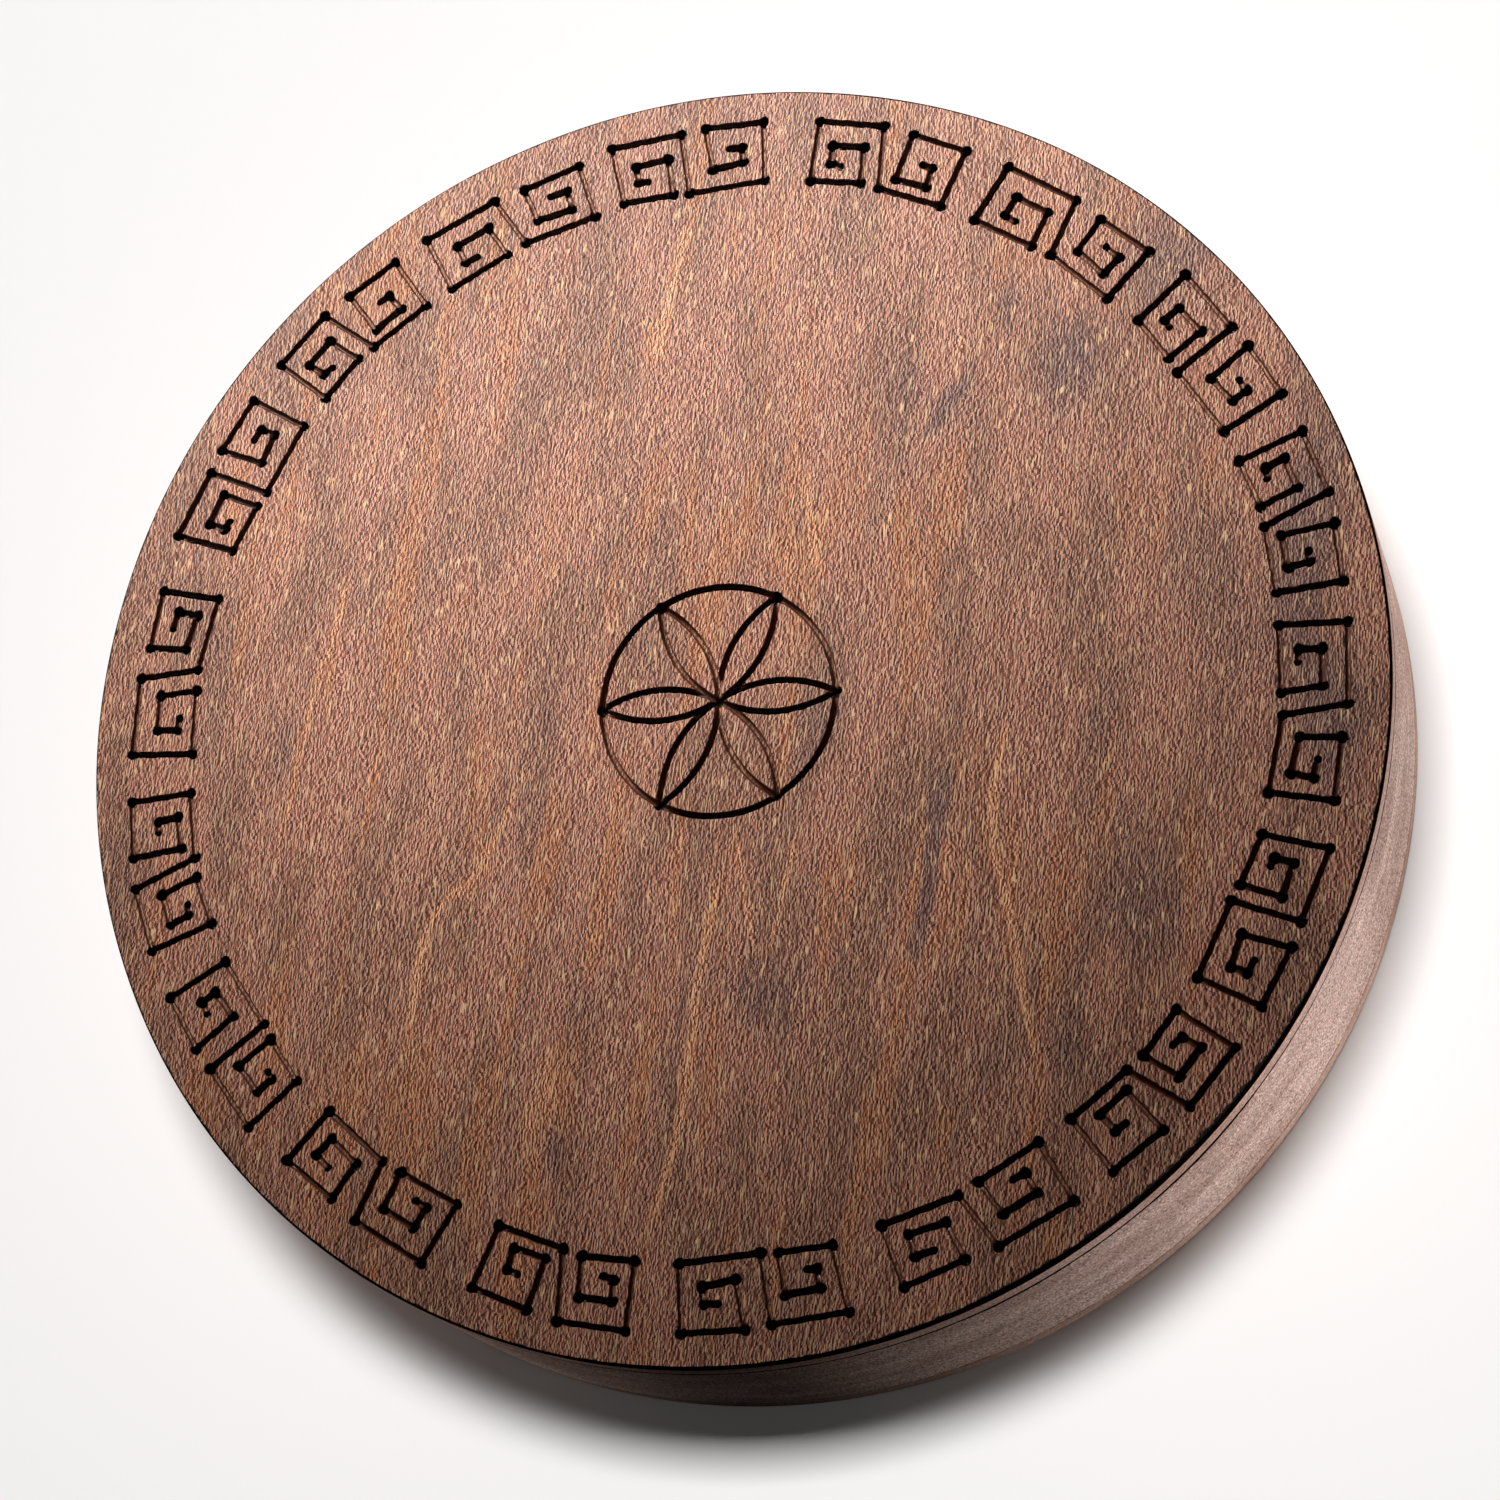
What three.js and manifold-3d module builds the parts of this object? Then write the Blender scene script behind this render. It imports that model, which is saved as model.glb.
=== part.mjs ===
// Ocean drum: a carved plywood head and a plain plywood back glued to a bent plywood hoop,
// with loose steel beads inside. The drum lies on its back, its axis is +Z, and the carved
// head faces up. The origin is the centre of the back's underside. Millimetres.
import * as THREE from "three";
import { mergeVertices } from "three/addons/utils/BufferGeometryUtils.js";
import Module from "manifold-3d";

const manifoldLibrary = await Module();
manifoldLibrary.setup();

// Driving dimensions of the shell
const drumDiameter = 300;
const drumDepth = 54;
const headThickness = 6;
const backThickness = 5;
const hoopWall = 8;
const glueLine = 0.3;
const headEdgeBevel = 1;
const backEdgeBevel = 0.5;

// Carving: a round-nosed groove, drilled deeper and wider wherever it turns, and not at its ends
const grooveWidth = 1.4;
const grooveDepth = 1.1;
const turnHoleDiameter = 2.6;
const turnHoleDepth = 2;
const cutterOverrun = 0.5;

// Fret border, and the six-petalled rosette in the middle of the head
const fretInnerRadius = 126.3;
const fretHeight = 15.65;
const rosetteRadius = 27;
const petalCount = 6;

// Loose beads, each in a lane of its own along Y, across this share of the hoop's inner width
const beadCount = 50;
const laneSpreadShare = 0.915;
const laneGap = 0.8;
const beadClearance = 0.3;
const beadFloorGap = 0.3;

// Faces round a full turn
const shellSides = 96;
const rosetteSides = 36;
const turnHoleSides = 6;

const drumRadius = drumDiameter / 2;
const hoopInnerRadius = drumRadius - hoopWall;
const headUnderside = drumDepth - headThickness;

// One fret is two square spirals joined by a slanting stroke. A point is its angle in degrees
// after the fret's first upright stroke, and its share of the border's height. The three frets
// were cut by hand and differ a little. Each runs from the left spiral's inner end to the
// right spiral's inner end.
const fretPointShares = {
  narrow: [
    [3.5, 0.57], [2.4, 0.55], [2.3, 0.24], [5.7, 0.25], [5.4, 1.0], [-0.1, 0.95], [0, 0.02], [7.1, 0.06],
    [8.4, 1.05], [14.7, 1.03], [14.6, 0.06], [9.2, 0.1], [9.8, 0.67], [13.0, 0.65], [12.8, 0.36], [11.7, 0.32],
  ],
  middle: [
    [3.9, 0.62], [2.6, 0.62], [2.4, 0.38], [5.6, 0.3], [6.3, 1.0], [0.6, 1.02], [0, 0.06], [8.2, -0.03],
    [8.7, 0.97], [15.6, 1.0], [15.4, 0.05], [10.0, 0], [10.2, 0.6], [13.5, 0.59], [13.5, 0.32], [12.6, 0.3],
  ],
  wide: [
    [3.9, 0.58], [2.1, 0.56], [2.2, 0.24], [5.9, 0.29], [6.1, 0.87], [0.3, 0.9], [0, -0.01], [8.0, 0.03],
    [9.2, 0.92], [16.8, 0.94], [17.3, -0.01], [10.3, 0], [10.9, 0.56], [14.5, 0.56], [14.6, 0.24], [13.3, 0.22],
  ],
};

// Where each fret starts round the border, in degrees from +X: set out by eye, about 20 apart
const fretStartDegrees = {
  narrow: [6.4, 65.5, 124.5, 185.4, 247.1, 307.8],
  middle: [24.6, 85.1, 142.9, 204.5, 266.2, 326.1],
  wide: [44.1, 103.9, 163.8, 224.8, 286.7, 345.7],
};

// Finishes
const stainedFace = new THREE.MeshStandardMaterial({ color: 0x8a5a42, roughness: 0.55, metalness: 0 });
const stainedHoop = new THREE.MeshStandardMaterial({ color: 0x8f7468, roughness: 0.6, metalness: 0 });
const stainedBack = new THREE.MeshStandardMaterial({ color: 0x7a5140, roughness: 0.6, metalness: 0 });
const steel = new THREE.MeshStandardMaterial({ color: 0xc9cacd, roughness: 0.2, metalness: 1 });

// A closed mesh with shared vertices and no face that has shrunk to a line
function closedGeometry(geometry) {
  const bare = geometry.clone();
  bare.deleteAttribute("normal");
  bare.deleteAttribute("uv");
  const merged = mergeVertices(bare);
  const corners = merged.getIndex().array;
  const kept = [];
  for (let i = 0; i < corners.length; i += 3) {
    const [a, b, c] = [corners[i], corners[i + 1], corners[i + 2]];
    if (a !== b && b !== c && c !== a) kept.push(a, b, c);
  }
  merged.setIndex(kept);
  return merged;
}

function toSolid(geometry) {
  const closed = closedGeometry(geometry);
  return new manifoldLibrary.Manifold(new manifoldLibrary.Mesh({
    numProp: 3,
    vertProperties: new Float32Array(closed.getAttribute("position").array),
    triVerts: new Uint32Array(closed.getIndex().array),
  }));
}

function fromSolid(solid) {
  const mesh = solid.getMesh();
  const geometry = new THREE.BufferGeometry();
  geometry.setAttribute("position", new THREE.BufferAttribute(mesh.vertProperties, 3));
  geometry.setIndex(new THREE.BufferAttribute(mesh.triVerts, 1));
  return geometry;
}

// A solid turned about +Z from its half section: radius and height of each corner, anticlockwise
function turned(section, sides = shellSides) {
  const points = section.map(([radius, height]) => new THREE.Vector2(radius, height));
  const geometry = new THREE.LatheGeometry(points, sides);
  geometry.rotateX(Math.PI / 2);
  return geometry;
}

function namedMesh(name, geometry, material) {
  const mesh = new THREE.Mesh(geometry, material);
  mesh.name = name;
  return mesh;
}

// The groove's section is a V, so it is wider above the surface, where the cutter overruns
const grooveFlare = (grooveWidth / 2 / grooveDepth) * cutterOverrun;
const turnHoleFlare = (turnHoleDiameter / 2 / turnHoleDepth) * cutterOverrun;

function straightGroove(from, to) {
  const halfWidth = grooveWidth / 2 + grooveFlare;
  const section = new THREE.Shape([
    new THREE.Vector2(-halfWidth, cutterOverrun),
    new THREE.Vector2(0, -grooveDepth),
    new THREE.Vector2(halfWidth, cutterOverrun),
  ]);
  const geometry = new THREE.ExtrudeGeometry(section, { depth: from.distanceTo(to), bevelEnabled: false });
  const along = to.clone().sub(from).normalize();
  const up = new THREE.Vector3(0, 0, 1);
  const across = up.clone().cross(along);
  geometry.applyMatrix4(new THREE.Matrix4().makeBasis(across, up, along).setPosition(from));
  return toSolid(geometry);
}

function turnHole(centre) {
  const depth = turnHoleDepth + cutterOverrun;
  const geometry = new THREE.CylinderGeometry(turnHoleDiameter / 2 + turnHoleFlare, 0, depth, turnHoleSides);
  geometry.rotateX(Math.PI / 2);
  geometry.rotateZ(Math.atan2(centre.y, centre.x));
  geometry.translate(centre.x, centre.y, centre.z + cutterOverrun - depth / 2);
  return toSolid(geometry);
}

function ringGroove(centre, radius) {
  const halfWidth = grooveWidth / 2 + grooveFlare;
  const geometry = turned([
    [radius - halfWidth, cutterOverrun],
    [radius, -grooveDepth],
    [radius + halfWidth, cutterOverrun],
    [radius - halfWidth, cutterOverrun],
  ], rosetteSides);
  geometry.translate(centre.x, centre.y, centre.z);
  return toSolid(geometry);
}

function onHead(degrees, radius) {
  const angle = THREE.MathUtils.degToRad(degrees);
  return new THREE.Vector3(radius * Math.cos(angle), radius * Math.sin(angle), drumDepth);
}

function fretCutters(pointShares, startDegrees) {
  const points = pointShares.map(([degrees, heightShare]) =>
    onHead(startDegrees + degrees, fretInnerRadius + heightShare * fretHeight));
  const strokes = points.slice(1).map((point, i) => straightGroove(points[i], point));
  return [...strokes, ...points.slice(1, -1).map(turnHole)];
}

// Six arcs drawn with the compass kept at the ring's own radius, cut off at the ring
function rosetteCutters() {
  const centre = onHead(0, 0);
  const tips = Array.from({ length: petalCount }, (_, i) => onHead((i * 360) / petalCount, rosetteRadius));
  const circles = tips.map((tip) => ringGroove(tip, rosetteRadius));
  const inside = toSolid(turned([
    [0, drumDepth - headThickness],
    [rosetteRadius, drumDepth - headThickness],
    [rosetteRadius, drumDepth + headThickness],
    [0, drumDepth + headThickness],
  ], rosetteSides));
  const petals = manifoldLibrary.Manifold.union(circles).intersect(inside);
  return [petals, ringGroove(centre, rosetteRadius), ...tips.map(turnHole), turnHole(centre)];
}

function headPlate() {
  const blank = toSolid(turned([
    [0, headUnderside],
    [drumRadius, headUnderside],
    [drumRadius, drumDepth - headEdgeBevel],
    [drumRadius - headEdgeBevel, drumDepth],
    [0, drumDepth],
  ]));
  const cutters = rosetteCutters();
  for (const [fret, starts] of Object.entries(fretStartDegrees)) {
    for (const start of starts) cutters.push(...fretCutters(fretPointShares[fret], start));
  }
  return fromSolid(blank.subtract(manifoldLibrary.Manifold.union(cutters)));
}

function hoop() {
  const bottom = backThickness + glueLine;
  const top = headUnderside - glueLine;
  return turned([
    [hoopInnerRadius, bottom],
    [drumRadius, bottom],
    [drumRadius, top],
    [hoopInnerRadius, top],
    [hoopInnerRadius, bottom],
  ]);
}

function backPlate() {
  return turned([
    [0, 0],
    [drumRadius - backEdgeBevel, 0],
    [drumRadius, backEdgeBevel],
    [drumRadius, backThickness],
    [0, backThickness],
  ]);
}

// The lanes are spread evenly, and a bead is as wide as its lane but for the gap
const hoopFlatRadius = hoopInnerRadius * Math.cos(Math.PI / shellSides);
const lanePitch = (2 * laneSpreadShare * hoopFlatRadius) / (beadCount - 1);
const beadRadius = (lanePitch - laneGap) / 2;
const beadReach = hoopFlatRadius - beadRadius - beadClearance;
const goldenShare = (Math.sqrt(5) - 1) / 2;

// Half of a lane's travel, from the lane's middle to the hoop
function laneReach(x) {
  return Math.sqrt(beadReach ** 2 - x ** 2);
}

function bead(index) {
  const x = (index - (beadCount - 1) / 2) * lanePitch;
  const restShare = 2 * (((index + 0.5) * goldenShare) % 1) - 1;
  const geometry = new THREE.IcosahedronGeometry(beadRadius, 1);
  const mesh = namedMesh(`bead_${String(index + 1).padStart(2, "0")}`, geometry, steel);
  mesh.position.set(x, restShare * laneReach(x), backThickness + beadFloorGap + beadRadius);
  return mesh;
}

const drum = new THREE.Group();
drum.add(namedMesh("front_plate", headPlate(), stainedFace));
drum.add(namedMesh("hoop", hoop(), stainedHoop));
drum.add(namedMesh("back_plate", backPlate(), stainedBack));
for (let i = 0; i < beadCount; i += 1) drum.add(bead(i));

export default drum;
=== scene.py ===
# Ocean drum on a pale studio floor, lit from the upper left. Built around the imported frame.
import math

import bmesh
import bpy
import numpy as np
from mathutils import Matrix, Vector
from mathutils.geometry import delaunay_2d_cdt


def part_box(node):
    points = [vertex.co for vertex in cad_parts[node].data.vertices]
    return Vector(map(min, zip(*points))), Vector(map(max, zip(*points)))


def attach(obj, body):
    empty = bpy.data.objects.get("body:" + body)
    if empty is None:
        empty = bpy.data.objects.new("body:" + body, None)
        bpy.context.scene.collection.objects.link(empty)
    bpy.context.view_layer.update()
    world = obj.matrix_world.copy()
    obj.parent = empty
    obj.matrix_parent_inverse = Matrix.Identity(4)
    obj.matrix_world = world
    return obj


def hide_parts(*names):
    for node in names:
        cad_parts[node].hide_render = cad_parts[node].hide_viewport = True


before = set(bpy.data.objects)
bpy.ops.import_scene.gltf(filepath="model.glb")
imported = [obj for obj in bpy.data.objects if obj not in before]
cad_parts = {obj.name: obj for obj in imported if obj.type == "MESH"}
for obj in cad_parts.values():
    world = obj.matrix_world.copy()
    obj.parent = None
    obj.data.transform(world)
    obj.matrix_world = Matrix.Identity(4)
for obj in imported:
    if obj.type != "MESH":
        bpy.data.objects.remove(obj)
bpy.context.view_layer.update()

MM = 0.001
seeded = np.random.default_rng(27)

# Sizes of the shell in millimetres, from the frame. No box gives the hoop's wall.
head_low, head_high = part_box("front_plate")
_, back_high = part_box("back_plate")
DRUM_RADIUS = round(head_high.x / MM, 3)
DRUM_DEPTH = round(head_high.z / MM, 3)
HEAD_UNDERSIDE = round(head_low.z / MM, 3)
BACK_THICKNESS = round(back_high.z / MM, 3)
HOOP_WALL = 8.0
HOOP_INNER_RADIUS = DRUM_RADIUS - HOOP_WALL
FULL_TURN = 2.0 * math.pi

# Sizes of the carving
GROOVE_HALF_WIDTH = 0.72
GROOVE_DEPTH = 1.5
DOT_RADIUS = 1.25
DOT_DEPTH = 2.2
END_RADIUS = 0.85
FRET_INNER_RADIUS = 126.3
FRET_HEIGHT = 15.65
ROSETTE_RADIUS = 27.0
PETAL_COUNT = 6


# Camera and view

def make_camera():
    """The photo's camera, fitted to the outlines of the head and of the back."""
    camera_data = bpy.data.cameras.new("camera")
    camera_data.sensor_width = 36.0
    camera_data.lens = 96.745
    camera_data.clip_start = 0.05
    camera_data.clip_end = 20.0
    camera = bpy.data.objects.new("camera", camera_data)
    bpy.context.scene.collection.objects.link(camera)
    right = Vector((0.96749, 0.0, -0.25291))
    up = Vector((0.07715, 0.95234, 0.29512))
    back = Vector((0.24086, -0.30504, 0.92138))
    place = Vector((0.22355, -0.28603, 0.88108))
    turn = Matrix((right, up, back)).transposed().to_4x4()
    camera.matrix_world = Matrix.Translation(place) @ turn
    bpy.context.scene.camera = camera


make_camera()
bpy.context.scene.view_settings.view_transform = "Standard"


# Node building

class Graph:
    """Adds nodes to a material. An input is a number, a vector or another node's output."""

    def __init__(self, name):
        self.material = bpy.data.materials.new(name)
        self.material.use_nodes = True
        self.tree = self.material.node_tree
        self.shader = self.tree.nodes["Principled BSDF"]

    def set(self, node, socket, value):
        target = node.inputs[socket]
        if isinstance(value, bpy.types.NodeSocket):
            self.tree.links.new(value, target)
        else:
            target.default_value = value

    def node(self, kind, inputs=(), **settings):
        made = self.tree.nodes.new(kind)
        for key, value in settings.items():
            setattr(made, key, value)
        for socket, value in dict(inputs).items():
            self.set(made, socket, value)
        return made

    def math(self, operation, a, b=0.0, c=0.0, clamp=False):
        inputs = {0: a, 1: b, 2: c}
        return self.node("ShaderNodeMath", inputs, operation=operation, use_clamp=clamp).outputs[0]

    def add(self, a, b):
        return self.math("ADD", a, b)

    def times(self, a, b):
        return self.math("MULTIPLY", a, b)

    def ramp(self, value, low, high, to_low=0.0, to_high=1.0):
        """value from low..high to to_low..to_high, smooth and clamped."""
        inputs = {0: value, 1: low, 2: high, 3: to_low, 4: to_high}
        return self.node("ShaderNodeMapRange", inputs, interpolation_type="SMOOTHSTEP").outputs[0]

    def mix(self, share, a, b, blend="MIX"):
        """Colours a and b mixed. The node's colour sockets are inputs 6 and 7 and output 2."""
        made = self.node("ShaderNodeMix", {0: share}, data_type="RGBA", blend_type=blend)
        self.set(made, 6, a)
        self.set(made, 7, b)
        return made.outputs[2]

    def scaled(self, vector, scale):
        inputs = {0: vector, 1: scale}
        return self.node("ShaderNodeVectorMath", inputs, operation="MULTIPLY").outputs[0]

    def moved(self, vector, offset):
        inputs = {0: vector, 1: offset}
        return self.node("ShaderNodeVectorMath", inputs, operation="ADD").outputs[0]

    def noise(self, vector, detail=2.0, roughness=0.5, distortion=0.0):
        inputs = {"Vector": vector, "Scale": 1.0, "Detail": detail, "Roughness": roughness,
                  "Distortion": distortion}
        return self.node("ShaderNodeTexNoise", inputs, noise_dimensions="3D").outputs["Fac"]

    def dashes(self, u, v, across, along, shift):
        """Random values in cells as long and narrow as wood fibres, staggered from column to column."""
        column = self.math("FLOOR", self.math("MULTIPLY_ADD", u, 1 / across, shift))
        start = self.node("ShaderNodeTexWhiteNoise", {"W": column}, noise_dimensions="1D").outputs["Value"]
        cell = self.math("FLOOR", self.math("MULTIPLY_ADD", v, 1 / along, self.times(start, 7.0)))
        inputs = {"Vector": self.join(column, cell)}
        return self.node("ShaderNodeTexWhiteNoise", inputs, noise_dimensions="2D").outputs["Value"]

    def attribute(self, name):
        return self.node("ShaderNodeAttribute", attribute_name=name).outputs["Fac"]

    def millimetres(self, turn_degrees=0.0):
        """Object coordinates in millimetres, turned about Z."""
        coordinates = self.node("ShaderNodeTexCoord").outputs["Object"]
        inputs = {"Vector": coordinates, "Rotation": (0.0, 0.0, math.radians(turn_degrees)),
                  "Scale": (1000.0, 1000.0, 1000.0)}
        return self.node("ShaderNodeMapping", inputs).outputs["Vector"]

    def split(self, vector):
        return self.node("ShaderNodeSeparateXYZ", {0: vector}).outputs

    def join(self, x, y, z=0.0):
        return self.node("ShaderNodeCombineXYZ", {0: x, 1: y, 2: z}).outputs[0]

    def bump(self, height, depth_mm):
        inputs = {"Strength": 1.0, "Distance": depth_mm * MM, "Height": height}
        return self.node("ShaderNodeBump", inputs).outputs["Normal"]


def colour(red, green, blue):
    """A colour from its sRGB parts of 255."""
    def linear(part):
        share = part / 255.0
        return share / 12.92 if share <= 0.04045 else ((share + 0.055) / 1.055) ** 2.4
    return (linear(red), linear(green), linear(blue), 1.0)


# Stained birch face: the grain runs this many degrees off +Y
GRAIN_TURN = 7.0
FIBRE_CONTRAST = 3.0

# Two layers of wood fibres: width and length in millimetres, and weight
FIBRES = ((0.3, 0.8, 0.42), (0.4, 2.2, 0.14))

# How strongly a light or dark fibre changes each of red, green and blue
FIBRE_POWERS = (1.9, 2.3, 2.5)


def fibre_pattern(g, u, v):
    """Short light and dark fibres about zero."""
    fibre = 0.0
    for across, along, weight in FIBRES:
        # Less its neighbour's value, so that dark fibres don't gather in clumps
        for side, share in ((0.0, weight), (1.0, -weight)):
            shift = 400 * across + side
            fibre = g.math("MULTIPLY_ADD", g.dashes(u, v, across, along, shift), share, fibre)
    return fibre


def sliver_pattern(g, u, fine_u, v, wander):
    """1 in a few thin, bright slivers along the grain, and 0 elsewhere."""
    offset = g.noise(g.join(g.times(u, 1 / 1.3), g.times(v, 1 / 60)), 0.0)
    sliver_v = g.math("MULTIPLY_ADD", offset, 14.0, g.math("MULTIPLY_ADD", wander, 3.0, v))
    field = g.scaled(g.join(fine_u, sliver_v), (1 / 0.4, 1 / 5.0, 0.0))
    return g.ramp(g.noise(g.moved(field, (5.0, 71.0, 0.0)), 0.0), 0.695, 0.725)


def stained_tone(g, cloud, warmth, streak, stain):
    """The stain's colour before the fibres, from broad patterns along the grain, with the painted shade of
    the "stain" attribute.
    """
    tone = g.mix(g.ramp(cloud, 0.42, 0.6), colour(173, 114, 92), colour(148, 99, 79))
    warm = g.ramp(g.add(warmth, g.times(stain, -0.25)), 0.52, 0.66)
    tone = g.mix(g.times(warm, 0.7), tone, colour(181, 112, 75))
    patchy = g.add(g.add(cloud, streak), -1.0)
    # The "stain" attribute darkens and greys the tone: stain patches, and painted shade at the left and
    # right sides
    tone = g.mix(g.ramp(g.add(stain, patchy), 0.12, 0.85), tone, colour(120, 84, 75))
    bright = g.add(g.times(stain, -1.0), g.add(streak, -0.5))
    return g.mix(g.ramp(bright, 0.2, 1.0), tone, colour(204, 138, 100))


def face_material():
    """Stained birch with its carving's stain and painted shade ("carve_stain_and_shade"), patches of stain
    and of painted shade ("stain") and dark rim ("rim").
    """
    g = Graph("stained_face")
    place = g.millimetres(GRAIN_TURN)
    sway = g.noise(g.scaled(place, (1 / 40, 1 / 70, 0.0)), 2.0)
    u, v, _ = g.split(place)
    u = g.add(u, g.times(sway, 5.0))
    grain = g.join(u, v)
    cloud = g.noise(g.scaled(grain, (1 / 16, 1 / 50, 0.0)), 2.0, 0.5)
    warmth = g.noise(g.moved(g.scaled(grain, (1 / 8, 1 / 70, 0.0)), (3.0, 44.0, 0.0)), 2.0, 0.5)
    streak = g.noise(g.moved(g.scaled(grain, (1 / 0.9, 1 / 40, 0.0)), (31.0, 7.0, 0.0)), 2.0, 0.6)
    wander = g.noise(g.scaled(grain, (1 / 4.0, 1 / 14.0, 0.0)), 1.0)
    fine_u = g.math("MULTIPLY_ADD", wander, 0.8, u)
    fine_v = g.math("MULTIPLY_ADD", wander, 2.0, v)
    sliver = sliver_pattern(g, u, fine_u, v, wander)
    deep = g.math("MULTIPLY_ADD", fibre_pattern(g, fine_u, fine_v), FIBRE_CONTRAST, 1.0)
    deep = g.add(deep, g.math("MULTIPLY_ADD", streak, 0.24, -0.12))
    deep = g.math("MINIMUM", g.math("MAXIMUM", deep, 0.32), 1.7)

    tone = stained_tone(g, cloud, warmth, streak, g.attribute("stain"))
    light = g.join(*(g.math("POWER", deep, power) for power in FIBRE_POWERS))
    tone = g.mix(1.0, tone, light, "MULTIPLY")
    tone = g.mix(g.ramp(deep, 1.1, 1.6, 0.0, 0.3), tone, colour(224, 168, 134))
    tone = g.mix(sliver, tone, colour(255, 208, 156))
    carve_stain_and_shade = g.attribute("carve_stain_and_shade")
    # The carving: brown stain, then black, which is painted shade in level grooves and in the dots
    tone = g.mix(g.ramp(carve_stain_and_shade, 0.0, 0.6), tone, colour(96, 54, 34))
    tone = g.mix(g.ramp(carve_stain_and_shade, 0.6, 1.0), tone, colour(14, 7, 5))
    rim = g.attribute("rim")
    ragged = g.noise(g.scaled(place, (1 / 3.5, 1 / 3.5, 0.0)), 3.0, 0.6)
    ragged = g.math("MULTIPLY_ADD", ragged, 1.6, -0.8)
    tone = g.mix(g.ramp(g.add(rim, ragged), 0.36, 0.64), tone, colour(20, 11, 8))
    g.set(g.shader, "Base Color", tone)

    rough = g.math("MULTIPLY_ADD", carve_stain_and_shade, -0.1, g.ramp(deep, 0.5, 1.5, 0.45, 0.36))
    g.set(g.shader, "Roughness", g.math("MULTIPLY_ADD", rim, 0.25, rough))
    g.set(g.shader, "Specular IOR Level", 0.3)
    pores = g.noise(g.scaled(g.join(fine_u, fine_v), (1 / 0.3, 1 / 2.4, 0.0)), 0.0)
    relief = g.add(pores, g.times(sliver, 0.4))
    relief = g.times(relief, g.math("SUBTRACT", 1.0, carve_stain_and_shade, clamp=True))
    g.set(g.shader, "Normal", g.bump(relief, 0.13))
    return g.material


def edge_material(name, tone_a, tone_b, speckle, rough):
    """A bent or turned edge of two tones. Its grain runs round the drum. "dark" is its seam stain."""
    g = Graph(name)
    place = g.millimetres()
    x, y, z = g.split(place)
    angle = g.math("ARCTAN2", y, x)
    round_x = g.times(g.math("COSINE", angle), DRUM_RADIUS)
    round_y = g.times(g.math("SINE", angle), DRUM_RADIUS)
    around = g.join(round_x, round_y, z)
    cloud = g.noise(g.scaled(around, (1 / 30, 1 / 30, 1 / 12)), 3.0, 0.55)
    flame = g.noise(g.scaled(around, (1 / 24, 1 / 24, 1 / 2.4)), 3.0, 0.6, 0.3)
    grit = g.noise(g.scaled(around, (1 / 0.55, 1 / 0.55, 1 / 0.4)), 1.0, 0.7)
    pore = g.ramp(g.noise(g.scaled(around, (1 / 0.6, 1 / 0.6, 1 / 0.36)), 0.0), 0.54, 0.64)
    tone = g.mix(g.ramp(cloud, 0.36, 0.64), tone_a, tone_b)
    light = g.ramp(flame, 0.3, 0.7, 0.86, 1.12)
    light = g.times(light, g.ramp(grit, 0.32, 0.68, 1.0 - speckle, 1.0 + speckle))
    tone = g.mix(1.0, tone, g.join(light, light, light), "MULTIPLY")
    tone = g.mix(g.times(pore, speckle * 1.6), tone, colour(92, 60, 48))
    uneven = g.math("MULTIPLY_ADD", g.noise(g.scaled(around, (1 / 5, 1 / 5, 1 / 1.2)), 2.0), 0.8, -0.4)
    dark = g.ramp(g.add(g.attribute("dark"), uneven), 0.3, 0.7)
    tone = g.mix(dark, tone, colour(22, 13, 9))
    g.set(g.shader, "Base Color", tone)
    g.set(g.shader, "Roughness", g.ramp(grit, 0.3, 0.7, rough - 0.08, rough + 0.08))
    g.set(g.shader, "Specular IOR Level", 0.0)
    g.set(g.shader, "Normal", g.bump(grit, 0.08 * (0.3 + speckle)))
    return g.material


def rim_material():
    """Black stain on the head's softened corner."""
    g = Graph("stained_rim")
    place = g.millimetres()
    blotch = g.noise(g.scaled(place, (1 / 5, 1 / 5, 1 / 1.5)), 4.0, 0.65)
    tone = g.mix(g.ramp(blotch, 0.55, 0.8), colour(14, 8, 6), colour(52, 32, 22))
    g.set(g.shader, "Base Color", tone)
    g.set(g.shader, "Roughness", g.ramp(blotch, 0.35, 0.65, 0.7, 0.55))
    g.set(g.shader, "Specular IOR Level", 0.0)
    g.set(g.shader, "Normal", g.bump(blotch, 0.1))
    return g.material


def glue_material():
    """Dark glue, squeezed out and dried in a seam."""
    g = Graph("dried_glue")
    place = g.millimetres()
    lumps = g.noise(g.scaled(place, (1 / 3, 1 / 3, 1 / 3)), 3.0)
    tone = g.mix(g.ramp(lumps, 0.35, 0.65), colour(30, 20, 15), colour(66, 48, 36))
    g.set(g.shader, "Base Color", tone)
    g.set(g.shader, "Roughness", g.ramp(lumps, 0.35, 0.65, 0.35, 0.6))
    g.set(g.shader, "Normal", g.bump(lumps, 0.15))
    return g.material


def steel_material():
    """Polished steel with fine scuffs."""
    g = Graph("bead_steel")
    place = g.millimetres()
    scuff = g.noise(g.scaled(place, (1 / 0.5, 1 / 0.5, 1 / 0.5)), 3.0, 0.6)
    tone = g.mix(g.ramp(scuff, 0.35, 0.65), (0.74, 0.74, 0.75, 1.0), (0.6, 0.6, 0.6, 1.0))
    g.set(g.shader, "Base Color", tone)
    g.set(g.shader, "Metallic", 1.0)
    g.set(g.shader, "Roughness", g.ramp(scuff, 0.3, 0.7, 0.14, 0.3))
    g.set(g.shader, "Normal", g.bump(scuff, 0.01))
    return g.material


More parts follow.
